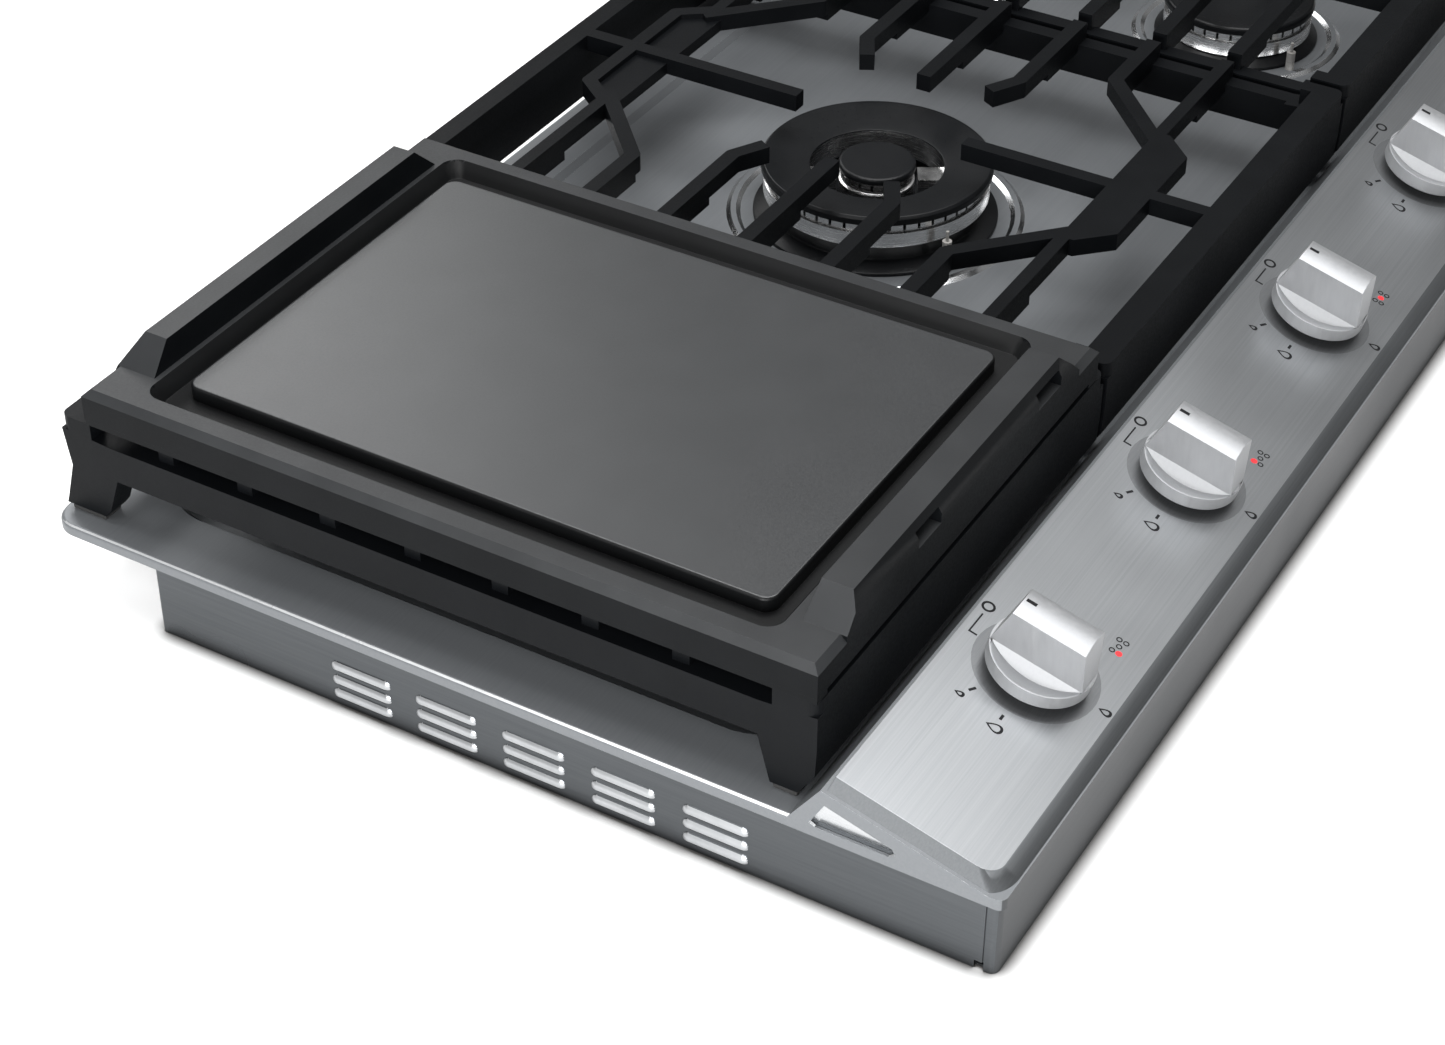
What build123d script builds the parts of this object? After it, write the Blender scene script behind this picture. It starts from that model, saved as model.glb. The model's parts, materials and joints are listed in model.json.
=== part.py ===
from build123d import *
import os
from math import atan2, cos, degrees, radians, sin, tan

# Drop-in gas cooktop, 36 inch class, with five burners and a lift-off griddle.
# Millimetres. The origin is the middle of the underside, +X runs to the user's right,
# +Y to the back, +Z up.

os.makedirs("parts", exist_ok=True)

# ---- driving dimensions -------------------------------------------------------------
WIDTH = 914.4
DEPTH = 511.2
HALF_WIDTH = WIDTH / 2
FRONT = -DEPTH / 2
BACK = DEPTH / 2
SHEET = 1.5

# top pan
DECK_TOP = 45.7
LIP_HEIGHT = 5.9
LIP_ROLL = 2.4
PAN_FRONT_CORNER = 4.0
PAN_REAR_CORNER = 14.0
WELL_DROP = 3.5
WELL_TOP = DECK_TOP - WELL_DROP
WELL_MARGIN = 35.0
WELL_FRONT = -132.0
WELL_CORNER = 30.0

# wedge that carries the control panel
PANEL_TILT = 15.3
WEDGE_TOE_Y = -247.5
WEDGE_CREST_Y = -168.5
WEDGE_HEEL_Y = -153.4
SLOPE = tan(radians(PANEL_TILT))
WEDGE_CREST_Z = DECK_TOP + (WEDGE_CREST_Y - WEDGE_TOE_Y) * SLOPE
WELL_CENTRE_Y = (WELL_FRONT + BACK - WELL_MARGIN) / 2

# pocket through each end of the wedge, as (y, z), and the inlay behind it
POCKET_OUTLINE = (
    (-163.5, 46.8), (-170.6, 59.6), (-203.2, 50.4), (-204.6, 47.4), (-201.6, 45.4), (-166.2, 45.4),
)
TRIM_SHEET = 1.5
TRIM_MARGIN = 2.4

# control panel plate
PLATE_HALF = 449.9
PLATE_RISE = 4.55
PLATE_FRONT_Y = -247.8
PLATE_LENGTH = 78.7
PLATE_CORNER = 9.0
PLATE_SIDE_BEVEL = 1.2
PLATE_FRONT_BEVEL = 3.1
DISH_RADIUS = 30.2
DISH_DROP = 1.2

# burner box
BOX_HALF = HALF_WIDTH - 1.8
BOX_FRONT = FRONT + 1.8
BOX_BACK = 193.4
BOX_SHEET = 1.2
BOX_CORNER = 2.0
BOX_FRONT_CORNER = 4.0
SEAM_SETBACK = 6.0
SEAM_WIDTH = 0.7
SEAM_DEPTH = 0.6
SEAM_NOTCH = 4.5
LOUVRE_GROUPS = 5
LOUVRE_PITCH = 47.5
LOUVRE_MID_Y = -21.6
LOUVRE_LENGTH = 36.0
LOUVRE_HEIGHTS = (6.9, 15.1, 23.3)
LOUVRE_RADIUS = 4.5
LOUVRE_STAND = 1.6

# knobs, one above each valve
KNOB_PITCH = 167.0
KNOB_COUNT = 5
KNOB_RADIUS = 25.1
SKIRT_HEIGHT = 11.0
KNOB_HEIGHT = 34.6
KNOB_GAP = 3.4
GRIP_REACH = 18.1
PUSH_TRAVEL = 3.0
STEM_RADIUS = 4.0
STEM_FLAT = 2.6
STEM_TOP = 20.0
RUNNING_GAP = 0.05

# grates
GRATE_TOP = 102.9
BAR_DEPTH = 9.8
BAR_LOW = GRATE_TOP - BAR_DEPTH
DEEP_BAR = 5.0
DEEP_LOW = BAR_LOW - DEEP_BAR
NARROW_BAR = 7.4
ROOT = 95.0
BAR_WIDTH = 8.6
BAR_SETBACK = 4.5
RAIL_WIDTH = 10.0
RAIL_LOW = 74.1
GRATE_MID_Y = 48.9
GRATE_FRONT = -160.5
GRATE_BACK = 248.1
CENTRE_HALF = 157.0
SIDE_HALF = 142.1
SIDE_X = 304.1
FRONT_RAIL = 15.7
BACK_RAIL = 12.0
GRATE_CORNER = 5.0
APRON_LOW = 62.0
APRON_SHEET = 8.0
FOOT_HEIGHT = 3.8
LEG_BOTTOM = DECK_TOP + FOOT_HEIGHT
LEG_WIDTH = 14.0

# griddle
GRIDDLE_LEFT = -447.1
GRIDDLE_RIGHT = -171.0
GRIDDLE_FRONT = -160.5
GRIDDLE_BACK = 231.8
GRIDDLE_LOW = GRATE_TOP + 0.3
GRIDDLE_TOP = 122.5
GRIDDLE_RAIL_TOP = 137.7
GRIDDLE_BEVEL = 3.5
GRIDDLE_RIM = 9.0
GRIDDLE_SHEET = 5.0
TROUGH_DEPTH = 8.0
FIELD = (-434.3, -182.9, -133.1, 205.3)
PLATE = (-417.9, -200.3, -122.1, 193.4)
RAIL_BASE = (-422.0, -193.9)
RAIL_CREST = (-409.7, -210.3)
RAIL_NOTCHES = ((-358.0, -336.5), (-238.7, -214.9))

# burners: name, x, y, cap radius
SIDE_BURNER_X = 300.0
BURNER_OFFSET_Y = 91.9
SINGLE_BURNERS = (
    ("left_front", -SIDE_BURNER_X, GRATE_MID_Y - BURNER_OFFSET_Y, 36.0),
    ("left_rear", -SIDE_BURNER_X, GRATE_MID_Y + BURNER_OFFSET_Y, 46.0),
    ("right_front", SIDE_BURNER_X, GRATE_MID_Y - BURNER_OFFSET_Y, 46.0),
    ("right_rear", SIDE_BURNER_X, GRATE_MID_Y + BURNER_OFFSET_Y, 36.0),
)
CAP_GAP = 0.3
HEAD_GAP = 0.3


# ---- helpers ------------------------------------------------------------------------
def block(x0, x1, y0, y1, z0, z1):
    """Box between two corners."""
    middle = ((x0 + x1) / 2, (y0 + y1) / 2, (z0 + z1) / 2)
    return Pos(*middle) * Box(x1 - x0, y1 - y0, z1 - z0)


def disc(x, y, radius, z0, z1):
    """Upright cylinder between two heights."""
    return Pos(x, y, (z0 + z1) / 2) * Cylinder(radius, z1 - z0)


def tube(x, y, outer, inner, z0, z1):
    """Upright ring between two heights."""
    return disc(x, y, outer, z0, z1) - disc(x, y, inner, z0 - 1, z1 + 1)


def side_profile(points, x0, x1):
    """Outline given as (y, z) points, run along X."""
    outline = Polyline(*[(x0, y, z) for y, z in points], close=True)
    return extrude(make_face(outline), amount=x1 - x0, dir=(1, 0, 0))


def front_profile(points, y0, y1):
    """Outline given as (x, z) points, run along Y."""
    outline = Polyline(*[(x, y0, z) for x, z in points], close=True)
    return extrude(make_face(outline), amount=y1 - y0, dir=(0, 1, 0))


def plan_profile(points, z0, z1):
    """Outline given as (x, y) points, run up Z."""
    outline = Polyline(*[(x, y, z0) for x, y in points], close=True)
    return extrude(make_face(outline), amount=z1 - z0, dir=(0, 0, 1))


def rounded_block(x0, x1, y0, y1, z0, z1, corner):
    """Box with rounded upright corners."""
    outline = Pos((x0 + x1) / 2, (y0 + y1) / 2, z0) * RectangleRounded(x1 - x0, y1 - y0, corner)
    return extrude(outline, amount=z1 - z0)


def strip(points, width, z0, z1):
    """Bar of one width that follows a line of plan points, with round joints."""
    shape = None
    for (ax, ay), (bx, by) in zip(points, points[1:]):
        run = Vector(bx - ax, by - ay).length
        middle = Pos((ax + bx) / 2, (ay + by) / 2, (z0 + z1) / 2)
        piece = middle * Rot(0, 0, degrees(atan2(by - ay, bx - ax))) * Box(run, width, z1 - z0)
        shape = piece if shape is None else shape + piece
    for x, y in points[1:-1]:
        shape += disc(x, y, width / 2, z0, z1)
    return shape


def turned(points):
    """Solid of revolution about Z from (radius, z) points."""
    outline = Polyline(*[(r, 0, z) for r, z in points], close=True)
    return revolve(make_face(outline), Axis.Z)


def save(shape, node):
    export_step(shape, f"parts/{node}.step")


def group(shapes):
    return Compound(children=list(shapes))


# ---- knob axes: each knob stands square on the tilted panel -------------------------
PANEL_MID_Y = PLATE_FRONT_Y + PLATE_LENGTH / 2 * cos(radians(PANEL_TILT))
PANEL_MID_Z = DECK_TOP + (PANEL_MID_Y - WEDGE_TOE_Y) * SLOPE + PLATE_RISE / cos(radians(PANEL_TILT))
KNOB_XS = [(i - (KNOB_COUNT - 1) / 2) * KNOB_PITCH for i in range(KNOB_COUNT)]


def on_panel(x):
    """Place whose origin is on the plate's top face at x, with its Z square to the plate."""
    return Pos(x, PANEL_MID_Y, PANEL_MID_Z) * Rot(PANEL_TILT, 0, 0)


# ---- sheet metal --------------------------------------------------------------------
def wedge_line(drop):
    """Side outline of the wedge's top sheet, moved down by drop."""
    return [
        (FRONT, DECK_TOP - drop),
        (WEDGE_TOE_Y, DECK_TOP - drop),
        (WEDGE_CREST_Y, WEDGE_CREST_Z - drop),
        (WEDGE_HEEL_Y, DECK_TOP - drop),
    ]


def inside_lip(edge):
    """True for an edge whose middle is well inside the pan's outline."""
    middle = edge.center()
    return abs(middle.X) < HALF_WIDTH - PAN_REAR_CORNER and middle.Y < BACK - 1


def cheek(side):
    """Raised band that closes the wedge's end, with rounded edges and a pocket through it."""
    low = DECK_TOP - LIP_HEIGHT
    outline = [
        (WEDGE_HEEL_Y + 1, low), (WEDGE_HEEL_Y + 1, DECK_TOP - LIP_ROLL / 2), (WEDGE_HEEL_Y, DECK_TOP),
        (WEDGE_CREST_Y, WEDGE_CREST_Z), (WEDGE_TOE_Y, DECK_TOP), (FRONT + PAN_FRONT_CORNER, DECK_TOP),
        (FRONT + PAN_FRONT_CORNER, low),
    ]
    plate = side_profile(outline, *sorted((side * (HALF_WIDTH - SHEET), side * HALF_WIDTH)))
    through = sorted((side * (HALF_WIDTH - 2 * SHEET), side * (HALF_WIDTH + 1)))
    plate -= side_profile(POCKET_OUTLINE, *through)
    return plate


def pan_outline(inset):
    """Plan outline of the pan, drawn in by inset, with wide corners at the back."""
    outline = Rectangle(WIDTH - 2 * inset, DEPTH - 2 * inset)
    outline = fillet(outline.vertices().group_by(Axis.Y)[-1], PAN_REAR_CORNER - inset)
    return fillet(outline.vertices().group_by(Axis.Y)[0], PAN_FRONT_CORNER - inset)


def top_pan():
    upper = wedge_line(0) + [(BACK, DECK_TOP)]
    lower = [(BACK, DECK_TOP - SHEET)] + list(reversed(wedge_line(SHEET)))
    lower[1] = (WEDGE_HEEL_Y - SHEET, DECK_TOP - SHEET)
    pan = side_profile(upper + lower, -HALF_WIDTH, HALF_WIDTH)
    pan &= extrude(pan_outline(0), amount=2 * WEDGE_CREST_Z)
    # turned-down lip round the outside, left out beside the wedge
    lip_low = DECK_TOP - LIP_HEIGHT
    lip = extrude(Pos(0, 0, lip_low) * (pan_outline(0) - pan_outline(SHEET)), amount=LIP_HEIGHT)
    lip -= block(-WIDTH, WIDTH, FRONT + PAN_FRONT_CORNER, WEDGE_HEEL_Y, 0, 2 * DECK_TOP)
    pan += lip
    # rolled edge behind the wedge
    rim = pan.edges().filter_by_position(Axis.Z, DECK_TOP - 0.01, DECK_TOP + 0.01)
    behind = [edge for edge in rim if edge.center().Y > WEDGE_HEEL_Y + 1]
    pan = fillet([edge for edge in behind if not inside_lip(edge)], LIP_ROLL)
    for side in (-1, 1):
        pan += cheek(side)
    # spill well, one sheet thick
    well = (WELL_MARGIN - HALF_WIDTH, HALF_WIDTH - WELL_MARGIN, WELL_FRONT, BACK - WELL_MARGIN)
    length = well[1] - well[0]
    depth = well[3] - well[2]
    pan -= rounded_block(*well, DECK_TOP - SHEET - 1, DECK_TOP + 1, WELL_CORNER)
    pan += rounded_block(*well, WELL_TOP - SHEET, DECK_TOP, WELL_CORNER)
    floor = RectangleRounded(length - 2 * WELL_DROP, depth - 2 * WELL_DROP, WELL_CORNER - WELL_DROP)
    mouth = RectangleRounded(length, depth, WELL_CORNER - 0.5)
    pan -= loft([Pos(0, WELL_CENTRE_Y, WELL_TOP) * floor, Pos(0, WELL_CENTRE_Y, DECK_TOP) * mouth])
    # raised bead and throat hole at each burner
    for x, y, bead, hole in BURNER_SEATS:
        pan += Pos(x, y, 0) * turned([
            (bead - BEAD_HALF, WELL_TOP - 0.5), (bead - BEAD_HALF, WELL_TOP),
            (bead - BEAD_CROWN, WELL_TOP + BEAD_RISE), (bead + BEAD_CROWN, WELL_TOP + BEAD_RISE),
            (bead + BEAD_HALF, WELL_TOP), (bead + BEAD_HALF, WELL_TOP - 0.5),
        ])
        pan -= disc(x, y, hole, WELL_TOP - SHEET - 1, WELL_TOP + 1)
    for x in KNOB_XS:
        pan -= on_panel(x) * Pos(0, 0, -PLATE_RISE) * Cylinder(PANEL_HOLE_RADIUS, 6 * SHEET)
    return pan


def plate_outline(half, back, front, corner):
    """Outline of the plate in its own plane: square corners at the back, round ones in front."""
    outline = Pos(0, (back + front) / 2, 0) * Rectangle(2 * half, back - front)
    return fillet(outline.vertices().group_by(Axis.Y)[0], corner)


def panel_block(inset, drop):
    """Tapered block in the plate's own plane: its sides are the plate's bevels, run on downwards."""
    depth = 2 * PLATE_RISE
    side = PLATE_SIDE_BEVEL * depth
    front = PLATE_FRONT_BEVEL * depth
    half = PLATE_HALF - inset
    end = PLATE_LENGTH / 2 - inset
    corner = PLATE_CORNER - inset
    top = plate_outline(half, end, -end, corner)
    foot = plate_outline(half + side, end, -end - front, corner + side)
    return Pos(0, 0, -drop) * loft([Pos(0, 0, -depth) * foot, top])


def control_panel():
    """Pressed plate with bevelled edges, and a shallow dish round each knob."""
    plate = panel_block(0, 0) - panel_block(SHEET / 2, SHEET)
    for x in KNOB_XS:
        plate += disc(x, 0, DISH_RADIUS + SHEET, -SHEET - DISH_DROP, -SHEET / 2)
        plate -= Pos(x, 0, 0) * turned([
            (0, 1), (DISH_RADIUS, 1), (DISH_RADIUS, 0),
            (DISH_RADIUS - 2 * DISH_DROP, -DISH_DROP), (0, -DISH_DROP),
        ])
        plate -= disc(x, 0, PANEL_HOLE_RADIUS, -PLATE_RISE, 1)
    plate = on_panel(0) * plate
    above_pan = side_profile(
        [
            (FRONT, DECK_TOP), (WEDGE_TOE_Y, DECK_TOP), (WEDGE_CREST_Y, WEDGE_CREST_Z),
            (WEDGE_CREST_Y, 2 * DECK_TOP), (FRONT, 2 * DECK_TOP),
        ],
        -BOX_HALF, BOX_HALF,
    )
    return plate & above_pan


def cheek_outline():
    """Side wall of the burner box, as (y, z) points, up to the underside of the pan."""
    under = DECK_TOP - SHEET
    crest = WEDGE_CREST_Z - SHEET
    return [
        (BOX_FRONT, 0), (BOX_BACK, 0), (BOX_BACK, under), (WEDGE_HEEL_Y - 2 * SHEET, under),
        (WEDGE_CREST_Y - SHEET / 2, crest - SHEET), (WEDGE_TOE_Y, under - 0.4), (BOX_FRONT, under - 0.4),
    ]


def louvre(side, y, z):
    """Pressed hood with round ends that stands out of the wall, and the slit open under it."""
    face = side * BOX_HALF
    reach = LOUVRE_LENGTH / 2 - LOUVRE_RADIUS

    def pill(radius):
        centre = face - side * (LOUVRE_RADIUS - LOUVRE_STAND)
        shape = Pos(centre, y, z) * Rot(90, 0, 0) * Cylinder(radius, 2 * reach)
        for end in (y - reach, y + reach):
            shape += Pos(centre, end, z) * Sphere(radius)
        return shape

    band = (y - LOUVRE_LENGTH, y + LOUVRE_LENGTH)
    outside = block(*sorted((face - side * BOX_SHEET, face + side * LOUVRE_RADIUS)), *band, z - 1, z + 8)
    hood = (pill(LOUVRE_RADIUS) & outside) - pill(LOUVRE_RADIUS - BOX_SHEET)
    mouth = block(*sorted((face - side * 2 * BOX_SHEET, face + side)), y - reach, y + reach, z - 3, z - 1)
    return hood, [pill(LOUVRE_RADIUS - BOX_SHEET), mouth]


def burner_box():
    """Folded sheet box, open at the top, with rounded corners and louvred sides."""
    shell = side_profile(cheek_outline(), -BOX_HALF, BOX_HALF)
    uprights = shell.edges().filter_by(Axis.Z).sort_by(Axis.Y)
    shell = fillet(uprights[-2:], BOX_CORNER)
    shell = fillet(shell.edges().filter_by(Axis.Z).sort_by(Axis.Y)[:2], BOX_FRONT_CORNER)
    hollow = block(
        -BOX_HALF + BOX_SHEET, BOX_HALF - BOX_SHEET, BOX_FRONT + BOX_SHEET, BOX_BACK - BOX_SHEET,
        BOX_SHEET, WEDGE_CREST_Z + 5,
    )
    shell -= fillet(hollow.edges().filter_by(Axis.Z).sort_by(Axis.Y)[:2], BOX_FRONT_CORNER - BOX_SHEET)
    # the back wall stops below the spill well
    well_half = HALF_WIDTH - WELL_MARGIN + 1
    cuts = [block(-well_half, well_half, BOX_BACK - BOX_CORNER, BOX_BACK + 1, WELL_TOP - SHEET, DECK_TOP)]
    hoods = []
    seam_y = BOX_FRONT + SEAM_SETBACK
    for side in (-1, 1):
        for row in range(LOUVRE_GROUPS):
            y = LOUVRE_MID_Y + (row - (LOUVRE_GROUPS - 1) / 2) * LOUVRE_PITCH
            for z in LOUVRE_HEIGHTS:
                hood, openings = louvre(side, y, z)
                hoods.append(hood)
                cuts += openings
        # window for the triangular inlay
        window = sorted((side * (BOX_HALF - BOX_SHEET - 1), side * (BOX_HALF + 1)))
        cuts.append(side_profile(POCKET_OUTLINE, *window))
        # folded seam near the front corner, with a relief notch at its foot
        groove = sorted((side * (BOX_HALF - SEAM_DEPTH), side * (BOX_HALF + 1)))
        cuts.append(block(*groove, seam_y, seam_y + SEAM_WIDTH, 0, DECK_TOP))
        cuts.append(block(*window, seam_y, seam_y + SEAM_NOTCH, -1, SEAM_NOTCH))
    cuts.append(along_y(INLET_X, BOX_BACK - 5, BOX_BACK + 5, INLET_Z, INLET_RADIUS + 0.3))
    cuts.append(along_y(GLAND_X, BOX_BACK - 5, BOX_BACK + 5, GLAND_Z, GLAND_NECK + 0.1))
    return shell - cuts + hoods


def side_trim(side):
    """Polished triangular inlay that closes the window in the cheek from inside."""
    outer = side * (BOX_HALF - BOX_SHEET)
    outline = make_face(Polyline(*[(outer, y, z) for y, z in POCKET_OUTLINE], close=True))
    plate = offset(outline, amount=TRIM_MARGIN)
    return extrude(plate, amount=TRIM_SHEET, dir=(-side, 0, 0))


# ---- burners ------------------------------------------------------------------------
HEAD_WALL = 14.6
CAP_EDGE = 5.0
THROAT_RADIUS = 20.0
DUAL_RING = 64.7
DUAL_OPENING = 37.3
DUAL_CORE = 21.7
DUAL_CAP_TOP = 76.8
SINGLE_CAP_TOP = 68.5
BEAD_OUTSIDE = 15.0
BEAD_HALF = 4.0
BEAD_RISE = 1.6
BEAD_CROWN = 1.5
BURNER_SEATS = [(0.0, GRATE_MID_Y, DUAL_RING + BEAD_OUTSIDE, THROAT_RADIUS + 6)]
BURNER_SEATS += [(x, y, radius + BEAD_OUTSIDE - 1, THROAT_RADIUS + 1) for _, x, y, radius in SINGLE_BURNERS]
PORT_WIDTH = 1.6
PORT_LENGTH = 4.6
PORT_TOP = 0.8
PORTS_PER_MM = 0.72
HEAD_SHEET = 5.0
SPIGOT_RADIUS = THROAT_RADIUS - 4.4
SPIGOT_BORE = THROAT_RADIUS - 7.0
SPIGOT_DEPTH = 8.0
RIB_DEPTH = 2.5
RIB_GAP = 0.3
THROAT_LOW = 16.0
PANEL_HOLE_RADIUS = 9.0


def ports(radius, count, z0, z1):
    """Ring of gas slots to cut through a head's wall."""
    slot = block(radius - 7, radius + 3, -PORT_WIDTH / 2, PORT_WIDTH / 2, z0, z1)
    return [Rot(0, 0, 360 / count * i) * slot for i in range(count)]


def single_base(x, y, radius):
    foot = WELL_TOP
    top = SINGLE_CAP_TOP - CAP_EDGE - HEAD_WALL
    base = turned([
        (THROAT_RADIUS - 4, THROAT_LOW), (THROAT_RADIUS, THROAT_LOW), (THROAT_RADIUS, foot),
        (radius + 4, foot), (radius + 4, foot + 1.5), (radius - 3, top), (THROAT_RADIUS - 4, top),
    ])
    return Pos(x, y, 0) * base


def single_head(x, y, radius):
    low = SINGLE_CAP_TOP - CAP_EDGE - HEAD_WALL + HEAD_GAP
    high = SINGLE_CAP_TOP - CAP_EDGE - CAP_GAP
    wall = radius - 2.5
    head = turned([
        (SPIGOT_BORE, low - SPIGOT_DEPTH), (SPIGOT_RADIUS, low - SPIGOT_DEPTH), (SPIGOT_RADIUS, low),
        (wall + 1.5, low), (wall + 1.5, low + 8.5), (wall, low + 9), (wall, high),
        (wall - HEAD_SHEET, high), (wall - HEAD_SHEET, low + 3), (SPIGOT_BORE, low + 3),
    ])
    head -= ports(wall, round(radius * PORTS_PER_MM), high - PORT_LENGTH, high - PORT_TOP)
    return Pos(x, y, 0) * head


def single_cap(x, y, radius):
    low = SINGLE_CAP_TOP - CAP_EDGE
    inner = radius - 8.2
    cap = turned([
        (0, low), (inner - 3, low), (inner - 3, low - RIB_DEPTH), (inner, low - RIB_DEPTH), (inner, low),
        (radius, low), (radius, SINGLE_CAP_TOP - 1.5), (radius - 1.5, SINGLE_CAP_TOP),
        (radius - 6, SINGLE_CAP_TOP - 0.4), (radius - 9, SINGLE_CAP_TOP - 1.4), (0, SINGLE_CAP_TOP - 1.4),
    ])
    return Pos(x, y, 0) * cap


def dual_base():
    top = DUAL_CAP_TOP - CAP_EDGE - HEAD_WALL
    base = turned([
        (THROAT_RADIUS - 4, THROAT_LOW), (THROAT_RADIUS + 4, THROAT_LOW), (THROAT_RADIUS + 4, WELL_TOP),
        (DUAL_RING + 4, WELL_TOP), (DUAL_RING + 4, WELL_TOP + 2), (DUAL_RING - 6, WELL_TOP + 5),
        (DUAL_RING - 6, top), (DUAL_OPENING + 4, top), (DUAL_OPENING + 4, WELL_TOP + 6),
        (DUAL_CORE, WELL_TOP + 6), (DUAL_CORE, top - 2), (THROAT_RADIUS - 4, top - 2),
    ])
    return Pos(0, GRATE_MID_Y, 0) * base


def dual_outer_head():
    low = DUAL_CAP_TOP - CAP_EDGE - HEAD_WALL + HEAD_GAP
    high = DUAL_CAP_TOP - CAP_EDGE - CAP_GAP
    wall = DUAL_RING - 3
    bore = DUAL_OPENING + 1
    head = turned([
        (bore, low), (wall + 1.5, low), (wall + 1.5, low + 8.5), (wall, low + 9), (wall, high),
        (wall - HEAD_SHEET, high), (wall - HEAD_SHEET, low + 3), (bore + 4, low + 3), (bore + 4, high),
        (bore, high),
    ])
    head -= ports(wall, round(DUAL_RING * PORTS_PER_MM), high - PORT_LENGTH, high - PORT_TOP)
    # gas bridges that reach in toward the core
    for turn in (-60, 120):
        head += Rot(0, 0, turn) * block(DUAL_CORE + 1.0, bore + 1, -BRIDGE_HALF, BRIDGE_HALF, low, low + 9)
    return Pos(0, GRATE_MID_Y, 0) * head


def dual_ring_cap():
    """Ring cap, dished down toward its opening, on a locating rib."""
    low = DUAL_CAP_TOP - CAP_EDGE
    rib = DUAL_RING - 3 - HEAD_SHEET - RIB_GAP
    return Pos(0, GRATE_MID_Y, 0) * turned([
        (DUAL_OPENING, low), (rib - 3, low), (rib - 3, low - RIB_DEPTH), (rib, low - RIB_DEPTH), (rib, low),
        (DUAL_RING, low), (DUAL_RING, DUAL_CAP_TOP - 1.6), (DUAL_RING - 1.6, DUAL_CAP_TOP),
        (DUAL_RING - 6, DUAL_CAP_TOP - 0.4), (DUAL_OPENING + 3, DUAL_CAP_TOP - 3.6),
        (DUAL_OPENING, DUAL_CAP_TOP - 4.2),
    ])


CORE_CAP_TOP = 75.0
CORE_CAP_EDGE = 4.0
CORE_SHEET = 4.0
CORE_PORTS = 18
BRIDGE_HALF = 7.0


def dual_inner_head():
    base_top = DUAL_CAP_TOP - CAP_EDGE - HEAD_WALL - 2
    low = base_top + HEAD_GAP
    high = CORE_CAP_TOP - CORE_CAP_EDGE - CAP_GAP
    wall = DUAL_CORE - 1.7
    head = turned([
        (SPIGOT_BORE, low - SPIGOT_DEPTH), (SPIGOT_RADIUS, low - SPIGOT_DEPTH), (SPIGOT_RADIUS, low),
        (wall + 1.2, low), (wall + 1.2, low + 9), (wall, low + 9.5), (wall, high),
        (wall - CORE_SHEET, high), (wall - CORE_SHEET, low + 3), (SPIGOT_BORE, low + 3),
    ])
    head -= ports(wall, CORE_PORTS, high - PORT_LENGTH, high - PORT_TOP)
    return Pos(0, GRATE_MID_Y, 0) * head


def dual_inner_cap():
    low = CORE_CAP_TOP - CORE_CAP_EDGE
    rib = DUAL_CORE - 1.7 - CORE_SHEET - RIB_GAP
    return Pos(0, GRATE_MID_Y, 0) * turned([
        (0, low), (rib - 2.5, low), (rib - 2.5, low - 2), (rib, low - 2), (rib, low),
        (DUAL_CORE, low), (DUAL_CORE, CORE_CAP_TOP - 1.2),
        (DUAL_CORE - 1.2, CORE_CAP_TOP), (0, CORE_CAP_TOP),
    ])


def igniters():
    """One ceramic electrode with a steel tip beside each burner."""
    places = [(DUAL_RING + 7.5, GRATE_MID_Y, 0.0, DUAL_CAP_TOP - CAP_EDGE - 4)]
    places += [(radius + 7.2, y, x, SINGLE_CAP_TOP - CAP_EDGE - 4) for _, x, y, radius in SINGLE_BURNERS]
    made = []
    for reach, y, x, tip in places:
        spot_x = x + reach * cos(radians(-120))
        spot_y = y + reach * sin(radians(-120))
        body = disc(spot_x, spot_y, 2.6, WELL_TOP, tip - 6)
        made.append(body + disc(spot_x, spot_y, 0.9, tip - 7, tip))
    return group(made)


# ---- grates -------------------------------------------------------------------------
def legs(cx, half):
    """Four corner legs, shaped to clear the wedge in front and splayed out at the back."""
    front = [
        (GRATE_FRONT, BAR_LOW + 2), (GRATE_FRONT, 76), (GRATE_FRONT + 0.7, 62), (-151.5, LEG_BOTTOM),
        (-138, LEG_BOTTOM), (-131.5, RAIL_LOW), (-131.5, BAR_LOW),
    ]
    back = [
        (GRATE_BACK, BAR_LOW + 2), (245, RAIL_LOW), (250.6, 54), (252, LEG_BOTTOM),
        (228, LEG_BOTTOM), (224.6, 54), (217.6, RAIL_LOW), (217.6, BAR_LOW),
    ]
    made = []
    for side in (-1, 1):
        edge = sorted((cx + side * half, cx + side * (half - LEG_WIDTH)))
        made.append(side_profile(front, *edge))
        made.append(side_profile(back, *edge))
    return made


def grate_feet(cx, half):
    made = []
    for side in (-1, 1):
        edge = sorted((cx + side * (half - 1), cx + side * (half - LEG_WIDTH + 1)))
        made.append(block(*edge, -151, -139, DECK_TOP, LEG_BOTTOM))
        made.append(block(*edge, 230, 250, DECK_TOP, LEG_BOTTOM))
    return group(made)


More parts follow.
